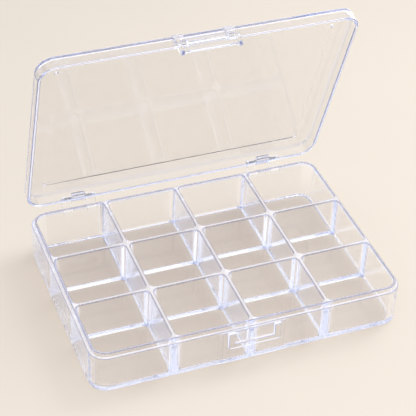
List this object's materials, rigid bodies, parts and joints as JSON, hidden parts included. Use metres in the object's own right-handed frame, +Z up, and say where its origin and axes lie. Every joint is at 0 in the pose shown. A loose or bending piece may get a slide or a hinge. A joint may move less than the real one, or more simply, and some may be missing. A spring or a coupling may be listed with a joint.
{
  "type": "thread storage box",
  "caption": "Clear moulded storage box with a grid of square compartments, a hinged lid shown propped open on rear pin hinges, and a folding front latch flap over a catch.",
  "frame": {"origin": "middle of the tray's flat bottom, on the surface that it stands on", "axes": "+X along the box from left to right, +Y from the latch at the front to the hinges at the back, +Z up"},
  "size_m": [0.2012, 0.1528, 0.174],
  "materials": {
    "clear_plastic": "clear and polished, with a faint blue tint in thick edges",
    "pin_steel": "bright drawn wire"
  },
  "bodies": {
    "tray": {"base_tray": "clear_plastic", "hinge_pin_left": "pin_steel", "hinge_pin_right": "pin_steel"},
    "lid": {"lid": "clear_plastic"},
    "latch": {"latch_flap": "clear_plastic"}
  },
  "joints": [
    {"name": "lid_hinge", "type": "hinge", "parent": "tray", "child": "lid", "pos_m": [0, 0.0754, 0.0307], "axis": [-1, 0, 0], "range_deg": [-70.5, 109.5]},
    {"name": "latch_pivot", "type": "hinge", "parent": "lid", "child": "latch", "pos_m": [0, 0.01409, 0.16939], "axis": [1, 0, 0], "range_deg": [0, 187]}
  ]
}
